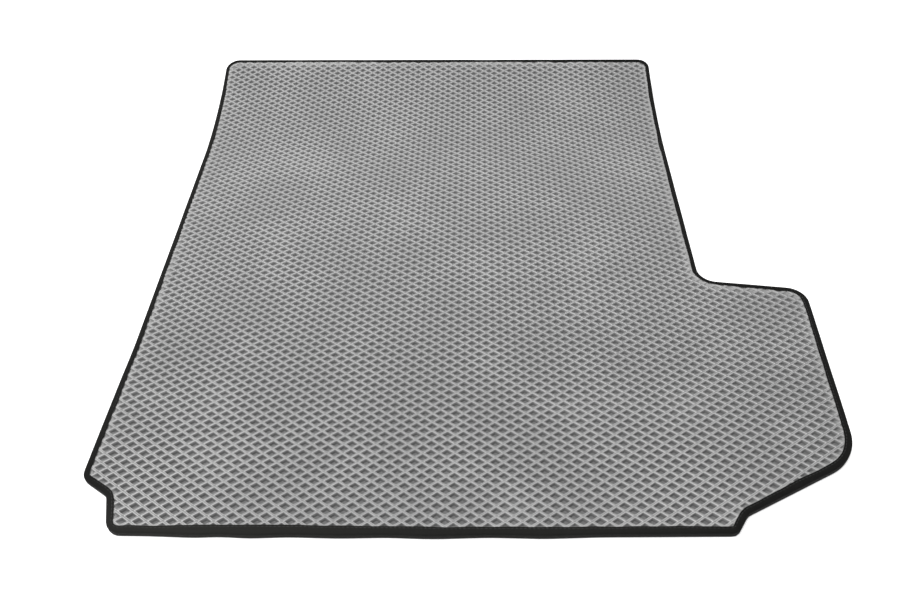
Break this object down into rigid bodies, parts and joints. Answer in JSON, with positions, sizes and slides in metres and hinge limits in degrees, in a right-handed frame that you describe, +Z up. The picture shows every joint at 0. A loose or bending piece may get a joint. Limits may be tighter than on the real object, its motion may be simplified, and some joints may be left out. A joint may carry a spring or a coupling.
{
  "type": "car boot liner",
  "caption": "Flat foam liner for a car boot with open diamond cells on top, a recess for a wheel arch, a curled seat end and a folded cloth edge binding.",
  "frame": {"origin": "middle of the bounding box, on the floor", "axes": "+Z up out of the floor, +Y from the loading edge towards the seats, +X towards the side with the wheel arch recess"},
  "size_m": [1.0806, 1.1366, 0.0584],
  "materials": {
    "foam": "matt closed-cell EVA foam, light grey",
    "binding": "black woven polyester tape"
  },
  "bodies": {
    "root": {"eva_sheet": "foam", "edge_binding": "binding"}
  },
  "joints": []
}
